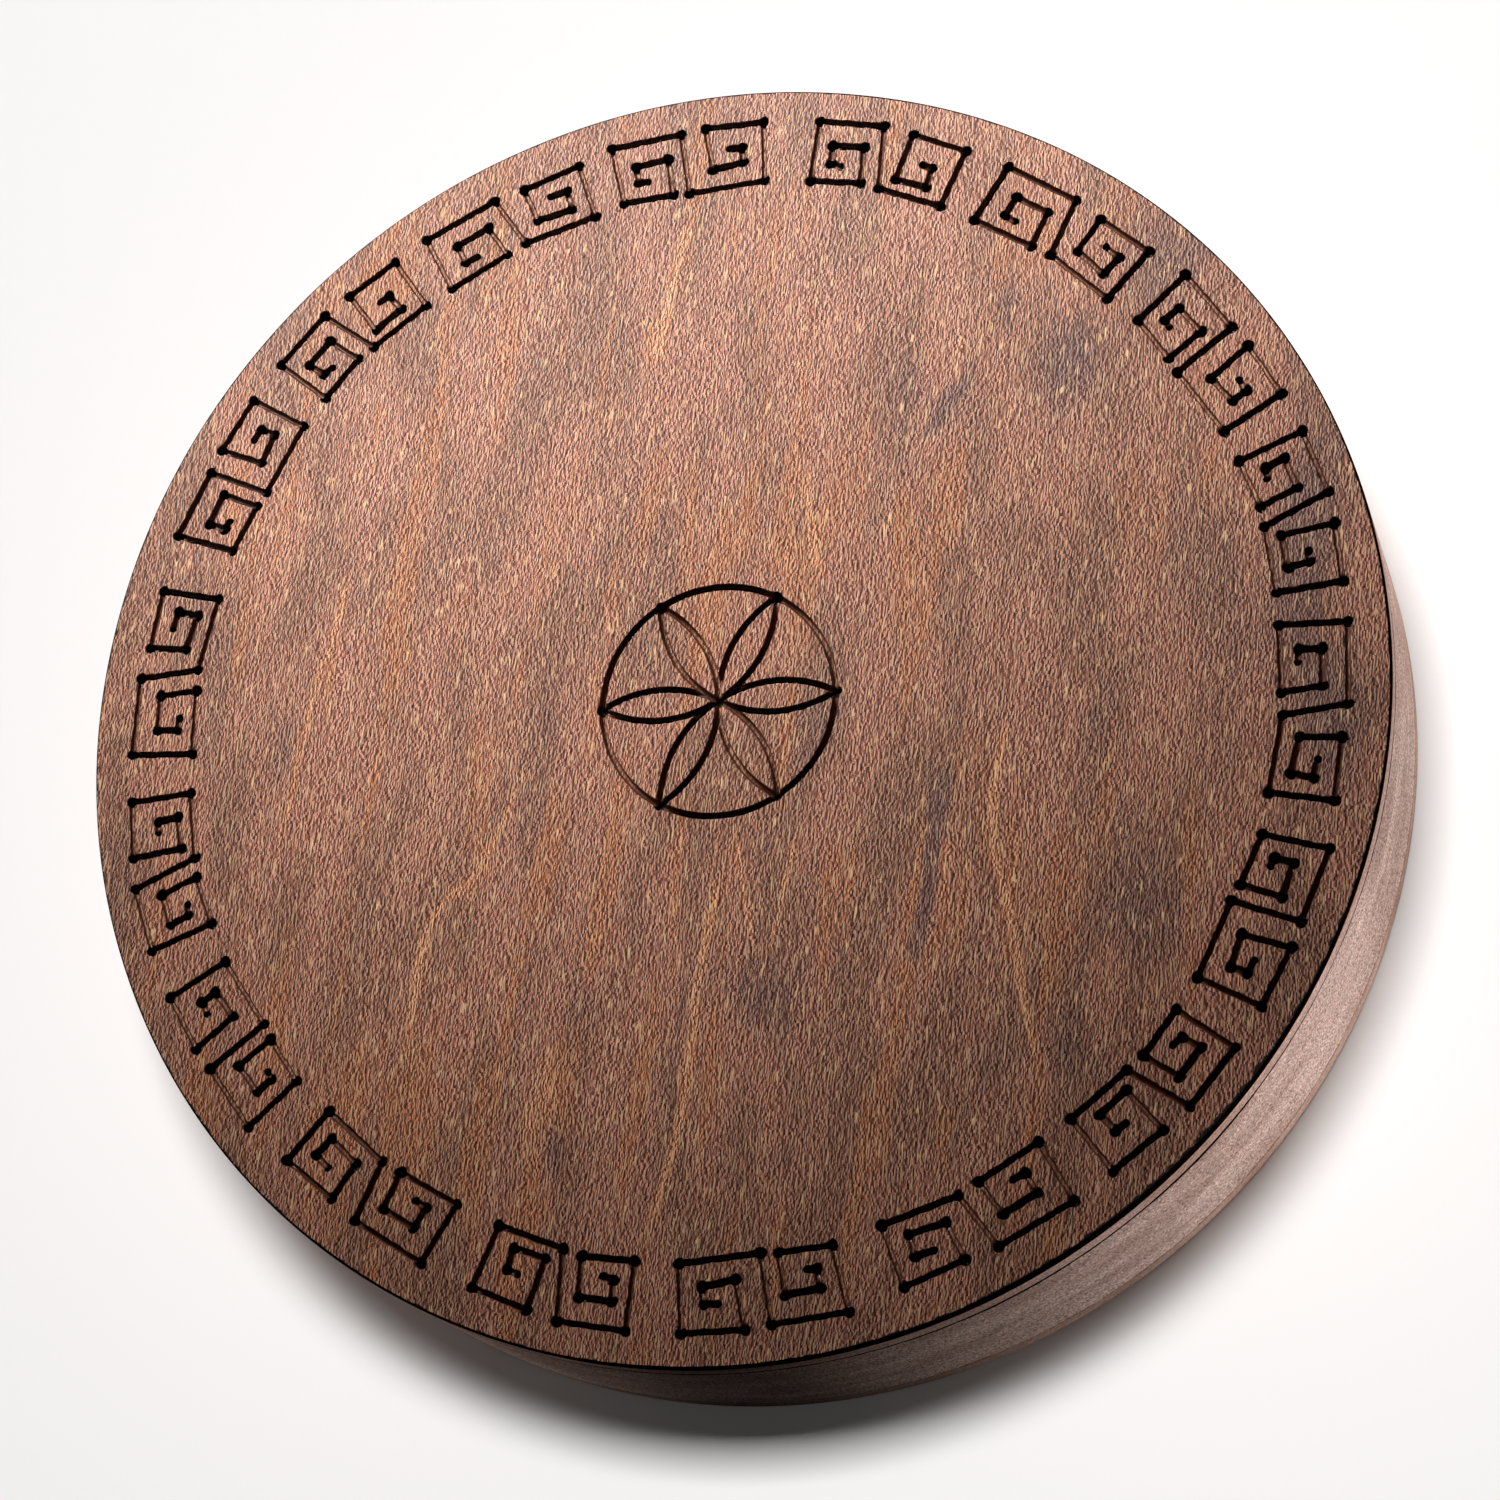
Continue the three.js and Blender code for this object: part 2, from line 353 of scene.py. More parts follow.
FACE = face_material()
RIM = rim_material()
HEAD_EDGE = edge_material("head_edge", colour(204, 170, 158), colour(184, 148, 134), 0.3, 0.5)
HOOP = edge_material("stained_hoop", colour(212, 182, 170), colour(190, 158, 146), 0.42, 0.55)
BACK = edge_material("stained_back", colour(186, 152, 136), colour(160, 126, 110), 0.25, 0.5)
GLUE = glue_material()
STEEL = steel_material()


# Carving of the head. A groove or dot is a feature with three methods. cut gives its depth and
# darkness at each point, samples gives the mesh points that describe its shape, and reach gives
# the centre and half side of a square around it.

def rays(angles):
    """The unit vector at each angle from +X."""
    return np.stack((np.cos(angles), np.sin(angles)), 1)


def wall_share(share, shape):
    """Depth of a cut as a share of its full depth, at a share of its half width."""
    inside = np.clip(np.abs(share), 0.0, 1.0)
    return (1.0 - inside ** shape) ** 0.62


# The light comes from above: a groove across this direction looks black, and one along it thin and brown.
# The depth of the grooves helps the lamps with this, and so does their colour: painted shade and a painted
# highlight in level grooves, and brown stain in upright ones.
TOWARD_LIGHT = np.array((-0.3, 0.954))


def levelness(facing):
    """1 for a level groove and 0 for an upright one."""
    return np.clip(1.5 * np.abs(facing) ** 1.6 - 0.15, 0.0, 1.0)


def groove_stain_and_shade(share, facing):
    """Darkness across a groove. Grooves that run level are painted black as painted shade, with a painted
    highlight: a lighter line low on the wall that faces the light. Upright ones are brown stain. facing is
    the dot product of TOWARD_LIGHT with the direction in which share grows."""
    # Level grooves: black painted shade, with a painted highlight at shares -0.86 to -0.7 on the lit wall
    level = np.interp(share * np.sign(facing), (-1.2, -1.0, -0.86, -0.7, -0.5, 0.9, 1.05, 1.2),
                      (0.0, 0.55, 0.3, 0.35, 0.95, 0.95, 0.55, 0.0))
    # Upright grooves: brown stain, darker on the walls
    upright = np.interp(np.abs(share), (0.0, 0.4, 0.7, 0.92, 1.1), (0.18, 0.22, 0.66, 0.5, 0.0))
    return upright + (level - upright) * levelness(facing)


# How full a cut's section is: round for a groove, fuller for a dot
GROOVE_SHAPE = 2.6
DOT_SHAPE = 3.0

# Where a feature's own points lie: shares of its half width, and the step along it
LEVELS = (0.3, 0.55, 0.75, 0.88, 0.96, 1.0, 1.2)
BOTH_SIDES = (0.0, *(side * level for level in LEVELS for side in (1.0, -1.0)))
SAMPLE_STEP = 0.75

# How far the square around a feature goes past it
GROOVE_MARGIN = 2.0
DOT_MARGIN = 1.0


class Stroke:
    """A straight groove with a slightly unsteady edge."""

    def __init__(self, start, end, widen=1.0):
        self.start = np.array(start)
        run = np.array(end) - self.start
        self.length = float(np.hypot(*run))
        self.along = run / self.length
        self.across = np.array((-self.along[1], self.along[0]))
        self.phase = seeded.uniform(0.0, FULL_TURN, 4)
        level = float(levelness(self.across @ TOWARD_LIGHT))
        self.half_width = GROOVE_HALF_WIDTH * widen * seeded.uniform(0.92, 1.06) * (0.84 + 0.16 * level)
        self.depth = GROOVE_DEPTH * seeded.uniform(0.9, 1.1) * (0.5 + 0.5 * level)

    def sway(self, s):
        return 0.05 * np.sin(1.1 * s + self.phase[0]) + 0.03 * np.sin(2.9 * s + self.phase[1])

    def width(self, s):
        wave = 0.05 * np.sin(1.7 * s + self.phase[2]) + 0.03 * np.sin(4.3 * s + self.phase[3])
        return self.half_width * (1.0 + wave)

    def cut(self, points):
        """Depth and darkness at each point."""
        offset = points - self.start
        s = offset @ self.along
        share = (offset @ self.across - self.sway(s)) / self.width(s)
        on = (s > 0.0) & (s < self.length)
        return (np.where(on, self.depth * wall_share(share, GROOVE_SHAPE), 0.0),
                np.where(on, groove_stain_and_shade(share, self.across @ TOWARD_LIGHT), 0.0))

    def samples(self):
        count = max(3, int(round(self.length / SAMPLE_STEP)))
        s = (np.arange(count) + 0.5) * self.length / count
        made = []
        for share in BOTH_SIDES:
            t = share * self.width(s) + self.sway(s)
            made.append(self.start + s[:, None] * self.along + t[:, None] * self.across)
        return np.concatenate(made)

    def reach(self):
        middle = self.start + self.along * self.length / 2
        return middle, self.length / 2 + GROOVE_MARGIN


class Arc:
    """A round groove, cut only inside a circle about the origin when limit is given."""

    def __init__(self, centre, radius, limit=None):
        self.centre = np.array(centre)
        self.radius = radius
        self.limit = limit

    def cut(self, points):
        away = points - self.centre
        distance = np.maximum(np.hypot(*away.T), 1e-6)
        share = (distance - self.radius) / GROOVE_HALF_WIDTH
        on = np.ones(len(points), bool) if self.limit is None else np.hypot(*points.T) < self.limit
        return (np.where(on, GROOVE_DEPTH * wall_share(share, GROOVE_SHAPE), 0.0),
                np.where(on, groove_stain_and_shade(share, away @ TOWARD_LIGHT / distance), 0.0))

    def samples(self):
        count = int(FULL_TURN * self.radius / SAMPLE_STEP)
        ray = rays(np.arange(count) * FULL_TURN / count)
        made = np.concatenate([self.centre + (self.radius + share * GROOVE_HALF_WIDTH) * ray
                               for share in BOTH_SIDES])
        if self.limit is None:
            return made
        return made[np.hypot(*made.T) < self.limit - 0.02]

    def reach(self):
        return self.centre, self.radius + GROOVE_MARGIN


class Dot:
    """A drilled dot, a little out of round. A small one is where the tool was lifted at an end."""

    def __init__(self, centre, radius=DOT_RADIUS, depth=DOT_DEPTH):
        self.centre = np.array(centre)
        self.radius = radius * seeded.uniform(0.9, 1.06)
        self.depth = depth * seeded.uniform(0.85, 1.0)
        self.phase = seeded.uniform(0.0, FULL_TURN, 2)

    def edge(self, angle):
        wave = 0.05 * np.sin(2.0 * angle + self.phase[0]) + 0.04 * np.sin(3.0 * angle + self.phase[1])
        return self.radius * (1.0 + wave)

    def cut(self, points):
        offset = points - self.centre
        away = np.hypot(*offset.T)
        share = away / self.edge(np.arctan2(offset[:, 1], offset[:, 0]))
        # A dot is painted black inside: painted shade in its deep hole
        dark = np.interp(share, (0.0, 0.9, 1.0, 1.2), (1.0, 1.0, 0.85, 0.0))
        return self.depth * wall_share(share, DOT_SHAPE), dark

    def samples(self):
        made = [self.centre[None, :]]
        for level in LEVELS:
            count = max(8, int(round(28 * min(level, 1.0))))
            angles = (np.arange(count) + 0.5 * (count % 2)) * FULL_TURN / count
            radius = level * self.edge(angles)
            made.append(self.centre + radius[:, None] * rays(angles))
        return np.concatenate(made)

    def reach(self):
        return self.centre, DOT_RADIUS + DOT_MARGIN


# The three frets: where each one starts round the border, in degrees from +X, and then its points,
# as degrees after its start and shares of the border's height
FRETS = {
    "narrow": (
        (6.4, 65.5, 124.5, 185.4, 247.1, 307.8),
        ((3.5, 0.57), (2.4, 0.55), (2.3, 0.24), (5.7, 0.25), (5.4, 1.0), (-0.1, 0.95), (0.0, 0.02),
         (7.1, 0.06), (8.4, 1.05), (14.7, 1.03), (14.6, 0.06), (9.2, 0.1), (9.8, 0.67), (13.0, 0.65),
         (12.8, 0.36), (11.7, 0.32))),
    "middle": (
        (24.6, 85.1, 142.9, 204.5, 266.2, 326.1),
        ((3.9, 0.62), (2.6, 0.62), (2.4, 0.38), (5.6, 0.3), (6.3, 1.0), (0.6, 1.02), (0.0, 0.06),
         (8.2, -0.03), (8.7, 0.97), (15.6, 1.0), (15.4, 0.05), (10.0, 0.0), (10.2, 0.6), (13.5, 0.59),
         (13.5, 0.32), (12.6, 0.3))),
    "wide": (
        (44.1, 103.9, 163.8, 224.8, 286.7, 345.7),
        ((3.9, 0.58), (2.1, 0.56), (2.2, 0.24), (5.9, 0.29), (6.1, 0.87), (0.3, 0.9), (0.0, -0.01),
         (8.0, 0.03), (9.2, 0.92), (16.8, 0.94), (17.3, -0.01), (10.3, 0.0), (10.9, 0.56), (14.5, 0.56),
         (14.6, 0.24), (13.3, 0.22))),
}


def on_ring(degrees, radius):
    """The point of a circle about the origin at an angle from +X."""
    angle = math.radians(degrees)
    return (radius * math.cos(angle), radius * math.sin(angle))


# The strokes at each end of a fret, which are the inner turns of its spirals, are a little wider
INNER_STROKES = 3
INNER_WIDENING = 1.15


def carving():
    """All features of the fret border and of the rosette."""
    features = []
    for starts, turns in FRETS.values():
        for start in starts:
            points = [on_ring(start + degrees, FRET_INNER_RADIUS + share * FRET_HEIGHT)
                      for degrees, share in turns]
            last = len(points) - 2
            features += [Stroke(a, b, INNER_WIDENING if min(i, last - i) < INNER_STROKES else 1.0)
                         for i, (a, b) in enumerate(zip(points, points[1:]))]
            features += [Dot(point) for point in points[1:-1]]
            features += [Dot(end, END_RADIUS, GROOVE_DEPTH) for end in (points[0], points[-1])]
    tips = [on_ring(i * 360.0 / PETAL_COUNT, ROSETTE_RADIUS) for i in range(PETAL_COUNT)]
    features += [Arc(tip, ROSETTE_RADIUS, limit=ROSETTE_RADIUS) for tip in tips]
    features.append(Arc((0.0, 0.0), ROSETTE_RADIUS))
    features += [Dot(tip) for tip in tips + [(0.0, 0.0)]]
    return features


def indexes_near(points, feature):
    """Indexes of the points in the square around a feature."""
    centre, reach = feature.reach()
    return np.nonzero(np.abs(points - centre).max(1) < reach)[0]


def carve_at(points, features):
    """The deepest cut, and the darkest stain and painted shade, at each point."""
    deep = np.zeros(len(points))
    dark = np.zeros(len(points))
    for feature in features:
        near = indexes_near(points, feature)
        if not len(near):
            continue
        depth, shade = feature.cut(points[near])
        deepest = depth >= deep[near]
        beside = np.maximum(dark[near], shade * (depth == 0.0))
        dark[near] = np.where(deepest & (depth > 0.0), shade, beside)
        deep[near] = np.maximum(deep[near], depth)
    return deep, dark


def apart(points, gap):
    """The points with near twins dropped: the first in each cell of a fine grid is kept."""
    cells = np.round(points / gap).astype(np.int64)
    _, first = np.unique(cells, axis=0, return_index=True)
    return points[np.sort(first)]


RIM_SEGMENTS = 480
INNER_RIM_STEPS = (0.35, 0.8, 1.4)
GRID_STEP = 3.0
GRID_JITTER = 0.6
GRID_REACH = DRUM_RADIUS - 2.0
GRID_RADIUS = DRUM_RADIUS - 4.0
GRID_CLEARANCE = 1.3

# Points of the mesh nearer than this are merged: in the carving, and elsewhere
CARVED_GAP = 0.06
PLAIN_GAP = 0.25

# A feature's own point is dropped where another feature cuts deeper than it by this much
RIVAL_DEPTH = 0.015


def head_bevel(angle):
    """The head's softened edge is widest at the lower right and almost sharp at the upper left."""
    wave = 0.06 * np.sin(5.0 * angle + 1.0) + 0.05 * np.sin(11.0 * angle)
    wave = wave + 0.03 * np.sin(23.0 * angle + 2.0)
    lower_right = 0.5 + 0.5 * np.cos(angle + math.radians(60.0))
    return 0.36 + 0.55 * lower_right ** 4.0 + wave


def rim_dark_width(angle):
    """The dark band at the edge of the face is widest at the right and shows again at the lower left."""
    right = np.clip(np.cos(angle + math.radians(52.0)), 0.0, 1.0) ** 5.0
    from_lower_left = angle + math.radians(130.0)
    turn = np.degrees(np.arctan2(np.sin(from_lower_left), np.cos(from_lower_left)))
    return 0.25 + 1.15 * right + 0.3 * np.exp(-(turn / 25.0) ** 2)


def clear_grid(features):
    """Slightly uneven grid points over the face, clear of the carving."""
    steps = np.arange(-GRID_REACH, GRID_REACH + 0.1, GRID_STEP)
    grid = np.stack(np.meshgrid(steps, steps), -1).reshape(-1, 2)
    grid = grid + seeded.uniform(-GRID_JITTER, GRID_JITTER, grid.shape)
    grid = grid[np.hypot(*grid.T) < GRID_RADIUS]
    clear = np.ones(len(grid), bool)
    for feature in features:
        near = indexes_near(grid, feature)
        for x, y in ((0, 0), (1, 0), (-1, 0), (0, 1), (0, -1)):
            step = (x * GRID_CLEARANCE, y * GRID_CLEARANCE)
            clear[near] &= feature.cut(grid[near] + step)[0] <= 0.0
    return grid[clear]


def head_surface(features):
    """Points, depths and triangles of the carved surface, out to the start of the softened edge."""
    kept = []
    centres = np.array([feature.reach()[0] for feature in features])
    reaches = np.array([feature.reach()[1] for feature in features])
    for feature in features:
        own = feature.samples()
        centre, reach = feature.reach()
        near = np.abs(centres - centre).max(1) < reaches + reach
        rivals = [other for other, close in zip(features, near) if close]
        kept.append(own[carve_at(own, rivals)[0] - feature.cut(own)[0] < RIVAL_DEPTH])
    carved = apart(np.concatenate(kept), CARVED_GAP)

    angles = np.arange(RIM_SEGMENTS) * FULL_TURN / RIM_SEGMENTS
    ray = rays(angles)
    rim = (DRUM_RADIUS - head_bevel(angles))[:, None] * ray
    inner_rims = [rim - step * ray for step in INNER_RIM_STEPS]
    grid = clear_grid(features)
    lines = np.concatenate([line_samples(points, half_width) for points, half_width, _ in LINES])
    lines = lines[(np.hypot(*lines.T) < GRID_RADIUS) & (carve_at(lines, features)[0] == 0.0)]
    plain = apart(np.concatenate((grid, lines)), PLAIN_GAP)
    points = np.concatenate((rim, *inner_rims, carved, plain))
    ring = [(i, (i + 1) % RIM_SEGMENTS) for i in range(RIM_SEGMENTS)]
    result = delaunay_2d_cdt([Vector(p) for p in points], ring, [], 1, 1e-7)
    flat = np.array([tuple(v) for v in result[0]])
    return flat, carve_at(flat, features), result[2]


# Patches where the stain took unevenly, and two broad patches of painted shade that darken the left and
# right sides: x, y, half width, half length, strength. Above zero is darker and greyer, below zero is
# lighter and more orange.
PATCHES = (
    (82, 74, 6.5, 13, 1.0), (78, 54, 5, 14, 0.35), (52, 66, 5, 8, 0.7), (44, 73, 4, 6, 0.5),
    (-15, 64, 3, 6, 0.5), (68, 89, 3, 6, 0.6), (10, -70, 12, 11, 0.55), (84, -11, 3, 4, 0.5),
    (-37, -101, 3, 7, 0.7), (-15, 6, 4, 6, 0.4), (24, -6, 5, 14, 0.4), (92, -57, 12, 12, 0.4),
    (77, -85, 8, 9, 0.5), (61, -87, 7, 8, 0.5), (13, -106, 6, 6, 0.4), (-105, -34, 3.5, 10, 0.5),
    (-103, -3, 3, 15, 0.5), (-30, -68, 5, 6, 0.5), (-14, -56, 3, 5, 0.5), (-10, 74, 10, 10, 0.3),
    (-54, 80, 6, 4, 0.3), (-40, -4, 3, 9, 0.5), (-46, -24, 3, 8, 0.5), (31, 10, 6, 20, 0.3),
    (132, 27, 7, 20, 0.7), (138, -15, 6, 14, 0.7), (106, 94, 9, 13, 0.6), (41, 52, 4, 5, 0.35),
    (-15, 90, 2.5, 7, -0.7), (-39, -84, 4, 8, -0.7), (-43, -94, 2.5, 7, -0.8), (55, 37, 4, 8, -0.5),
    (5, 38, 10, 8, -0.4), (17, 31, 6, 6, -0.5), (-70, -55, 4, 14, -0.4), (111, 45, 5, 12, -0.4),
    # Painted shade: broad darkening of the left and right sides, where less light falls
    (126, 15, 34, 90, 0.35), (-132, -5, 26, 80, 0.3),
    (50, -100, 3, 8, -0.5), (108, -42, 4, 12, -0.4), (30, -42, 6, 10, -0.35), (-67, 70, 8, 18, -0.3),
)

# Single grain lines: points, half width, strength as above
LINES = (
    (((-8, 118), (-12, 100), (-15, 84)), 1.3, -0.8),
    (((-89, 39), (-92, 23), (-97, 10), (-100, -8), (-104, -27), (-106, -40)), 0.8, -0.9),
    (((-44, -11), (-54, -33), (-58, -39), (-63, -41), (-67, -48), (-70, -60), (-72, -78)), 1.0, -0.9),
    (((0, -42), (-4, -60), (-6, -80), (-9, -100), (-15, -118)), 1.2, -1.1),
    (((4, -31), (5, -40), (8, -56), (9, -60)), 0.7, -0.8),
    (((18, -32), (15, -45), (12, -58), (10, -64)), 0.8, -0.8),
    (((66, -10), (62, -26), (62, -40), (66, -56), (68, -76), (72, -92)), 1.0, -1.1),
    (((21, 54), (21, 41), (24, 28)), 1.4, -0.7),
    (((57, 83), (55, 72)), 0.9, -0.8),
    (((52, -36), (50, -50)), 1.0, -0.7),
    (((-83, 82), (-84, 62)), 0.8, -0.5),
    (((-25, 78), (-27, 66)), 0.7, -0.5),
    (((51, -19), (48, -48), (43, -64)), 2.4, 0.8),
    (((60, 74), (48, 58)), 1.6, 0.6),
    (((-7, -62), (-12, -96)), 1.2, 0.5),
)


def rounded(points):
    """A polyline with its corners cut off twice."""
    line = np.array(points, float)
    for _ in range(2):
        inner = np.stack((0.75 * line[:-1] + 0.25 * line[1:], 0.25 * line[:-1] + 0.75 * line[1:]), 1)
        line = np.concatenate((line[:1], inner.reshape(-1, 2), line[-1:]))
    return line


# Where a grain line's own points lie: the step along it, and shares of its half width
LINE_STEP = 1.1
LINE_SIDES = (-1.5, -1.0, -0.5, 0.0, 0.5, 1.0, 1.5)


def line_samples(points, half_width):
    """Points of the head's mesh along a grain line, so that it can show a thin line."""
    line = rounded(points)
    run = np.concatenate(((0.0,), np.cumsum(np.hypot(*np.diff(line, axis=0).T))))
    s = np.arange(0.0, run[-1], LINE_STEP)
    x = np.interp(s, run, line[:, 0])
    y = np.interp(s, run, line[:, 1])
    return np.concatenate([np.stack((x + half_width * side, y), 1) for side in LINE_SIDES])


def line_distance(points, line):
    """Distance from each point to a polyline, and how far along it the nearest place is, 0 to 1."""
    best = np.full(len(points), 1e9)
    share = np.zeros(len(points))
    count = len(line) - 1
    for i in range(count):
        run = line[i + 1] - line[i]
        s = np.clip((points - line[i]) @ run / (run @ run), 0.0, 1.0)
        away = np.hypot(*(points - line[i] - s[:, None] * run).T)
        nearer = away < best
        best = np.where(nearer, away, best)
        share = np.where(nearer, (i + s) / count, share)
    return best, share


def stain_and_shade_at(points):
    """Strength of the stain's patches and lines at each point, and of the painted shade at the sides."""
    turn = math.radians(GRAIN_TURN)
    found = np.zeros(len(points))
    for x, y, half_width, half_length, strength in PATCHES:
        dx = points[:, 0] - x
        dy = points[:, 1] - y
        across = dx * math.cos(turn) - dy * math.sin(turn)
        along = dx * math.sin(turn) + dy * math.cos(turn)
        found += strength * np.exp(-(across / half_width) ** 2 - (along / half_length) ** 2)
    for points_of_line, half_width, strength in LINES:
        line = rounded(points_of_line)
        inside = (points > line.min(0) - 5.0) & (points < line.max(0) + 5.0)
        near = np.nonzero(inside.all(1))[0]
        away, share = line_distance(points[near], line)
        fade = np.clip(6.0 * share, 0.0, 1.0) * np.clip(6.0 * (1.0 - share), 0.0, 1.0)
        profile = np.clip(1.0 - (away / (1.4 * half_width)) ** 2, 0.0, 1.0)
        found[near] += strength * profile * (0.35 + 0.65 * fade) * (share > 0.0) * (share < 1.0)
    return found


def finished_piece(name, mesh, body, slot, *replaced):
    """Adds a mesh to the scene as a piece that rides on a body and replaces CAD nodes."""
    piece = bpy.data.objects.new(name, mesh)
    bpy.context.scene.collection.objects.link(piece)
    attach(piece, body)
    if replaced:
        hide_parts(*replaced)
    return piece


def paint(mesh, name, values):
    """Keeps a value for each point of a mesh, for its material to read."""
    layer = mesh.attributes.new(name, "FLOAT", "POINT")
    layer.data.foreach_set("value", np.asarray(values, np.float32))


# The head's side below its softened edge: height over the underside, and how far inside the
# drum's radius
HEAD_SIDE_ROWS = ((4.7, 0.0), (3.0, 0.0), (1.6, 0.0), (0.25, 0.0), (0.07, 0.07), (0.0, 0.25))

# Rows of points on the softened edge: degrees turned from the face down to the side
BEVEL_TURNS = (18.0, 36.0, 54.0, 72.0, 90.0)
SHARP_ANGLE = math.radians(34.0)

# How far below the face the stain on the head's side ends, and over what height it fades
SIDE_STAIN_REACH = 1.2
SIDE_STAIN_FADE = 0.5

# Over what width the dark band at the edge of the face fades, and its highest value
RIM_DARK_FADE = 1.6
RIM_DARK_LIMIT = 1.6


def head_side_rows(angles):
    """Radii and heights of each row of points from the face down to the underside."""
    bevel = head_bevel(angles)
    rows = []
    for turn in np.radians(BEVEL_TURNS):
        radius = DRUM_RADIUS - bevel * (1.0 - np.sin(turn))
        rows.append((radius, DRUM_DEPTH - bevel * (1.0 - np.cos(turn))))
    for rise, inset in HEAD_SIDE_ROWS:
        radius = np.full(RIM_SEGMENTS, DRUM_RADIUS - inset)
        rows.append((radius, np.full(RIM_SEGMENTS, HEAD_UNDERSIDE + rise)))
    return rows


def make_head():
    """The carved face, its softened edge and its side, as one mesh."""
    flat, (depths, shades), triangles = head_surface(carving())
    vertices = [(x, y, DRUM_DEPTH - d) for (x, y), d in zip(flat, depths)]
    faces = [tuple(t) for t in triangles]
    rim_from = len(faces)
    edge_from = rim_from + len(BEVEL_TURNS) * RIM_SEGMENTS
    angles = np.arange(RIM_SEGMENTS) * FULL_TURN / RIM_SEGMENTS
    previous = list(range(RIM_SEGMENTS))
    for radius, height in head_side_rows(angles):
        base = len(vertices)
        vertices += [(r * math.cos(a), r * math.sin(a), h) for r, a, h in zip(radius, angles, height)]
        current = list(range(base, base + RIM_SEGMENTS))
        for i in range(RIM_SEGMENTS):
            j = (i + 1) % RIM_SEGMENTS
            faces.append((previous[i], current[i], current[j], previous[j]))
        previous = current
    faces.append(tuple(reversed(previous)))

    mesh = bpy.data.meshes.new("carved_head")
    mesh.from_pydata([(x * MM, y * MM, z * MM) for x, y, z in vertices], [], faces)
    for material in (FACE, RIM, HEAD_EDGE):
        mesh.materials.append(material)
    for polygon in mesh.polygons[rim_from:]:
        polygon.material_index = 1 if polygon.index < edge_from else 2
    places = np.array(vertices)
    away = np.hypot(places[:, 0], places[:, 1])
    width = rim_dark_width(np.arctan2(places[:, 1], places[:, 0]))
    # The carving's stain and painted shade, for the face's material
    carve_stain_and_shade = np.zeros(len(vertices))
    carve_stain_and_shade[:len(flat)] = shades
    paint(mesh, "carve_stain_and_shade", carve_stain_and_shade)
    into_rim = (away - (DRUM_RADIUS - width)) / RIM_DARK_FADE
    paint(mesh, "rim", np.clip(into_rim + 0.5, 0.0, RIM_DARK_LIMIT))
    paint(mesh, "stain", stain_and_shade_at(places[:, :2]))
    stain_end = DRUM_DEPTH - SIDE_STAIN_REACH
    paint(mesh, "dark", np.clip((places[:, 2] - stain_end) / SIDE_STAIN_FADE, 0.0, 1.0))
    mesh.shade_smooth()
    mesh.set_sharp_from_angle(angle=SHARP_ANGLE)
    finished_piece("carved_head", mesh, "shell", "stained_face", "front_plate")


make_head()


TURNED_SEGMENTS = 360


def turned_piece(name, section, material, slot, replaced=(), dark=None):
    """A ring turned from a closed section of (radius, height) corners, anticlockwise. dark gives
    the seam stain at a corner's place in the section and an angle."""
    angles = np.arange(TURNED_SEGMENTS) * FULL_TURN / TURNED_SEGMENTS
    vertices = []
    darkness = []
    faces = []
    for corner, (radius, height) in enumerate(section):
        low = corner * TURNED_SEGMENTS
        high = (corner + 1) % len(section) * TURNED_SEGMENTS
        for i, angle in enumerate(angles):
            j = (i + 1) % TURNED_SEGMENTS
            vertices.append((radius * math.cos(angle) * MM, radius * math.sin(angle) * MM, height * MM))
            darkness.append(dark(corner, angle) if dark else 0.0)
            faces.append((low + i, low + j, high + j, high + i))
    mesh = bpy.data.meshes.new(name)
    mesh.from_pydata(vertices, [], faces)
    mesh.materials.append(material)
    paint(mesh, "dark", darkness)
    mesh.shade_smooth()
    mesh.set_sharp_from_angle(angle=SHARP_ANGLE)
    return finished_piece(name, mesh, "shell", slot, *replaced)


# The gap at each end of the hoop, and how far the glue in it reaches past the gap's faces
GLUE_GAP = 0.2
GLUE_OVERLAP = 0.08
HOOP_BOTTOM = BACK_THICKNESS + GLUE_GAP
HOOP_TOP = HEAD_UNDERSIDE - GLUE_GAP
HOOP_BEVEL = 0.2

# Rows of points on the hoop's outside: heights over the back, then drops below the head
HOOP_ROWS = (*(BACK_THICKNESS + rise for rise in (0.4, 0.9, 1.8, 5.0, 13.0)),
             *(HEAD_UNDERSIDE - drop for drop in (22.0, 14.0, 7.0, 3.0, 1.8, 1.1, 0.65, 0.4)))
HOOP_SECTION = ((DRUM_RADIUS - HOOP_BEVEL, HOOP_BOTTOM), *((DRUM_RADIUS, height) for height in HOOP_ROWS),
                (DRUM_RADIUS - HOOP_BEVEL, HOOP_TOP), (HOOP_INNER_RADIUS, HOOP_TOP),
                (HOOP_INNER_RADIUS, HOOP_BOTTOM))


def bell(turn, middle, width):
    """1 at the middle, falling off smoothly over the width."""
    return math.exp(-((turn - middle) / width) ** 2)


def seam_stain(angle):
    """Width of the stain in the front seam: widest at the lower right."""
    turn = math.degrees(angle)
    turn = turn - 360.0 if turn > 180.0 else turn
    return (0.35 + 0.6 * bell(turn, -46.0, 6.0) + 0.35 * bell(turn, -65.0, 7.0)
            - 0.25 * bell(turn, -28.0, 8.0))


def hoop_dark(corner, angle):
    """Stain of the hoop: darkest at the seams with the head and with the back."""
    height = HOOP_SECTION[corner][1]
    stain = seam_stain(angle)
    front = max(0.0, 1.0 - (HOOP_ROWS[-1] - height) / (0.6 + 1.4 * stain))
    back = max(0.0, 1.0 - (height - HOOP_ROWS[0]) / 0.8)
    return max(front * (0.4 + stain), 0.7 * back)


turned_piece("bent_hoop", HOOP_SECTION, HOOP, "stained_hoop", ("hoop",), dark=hoop_dark)

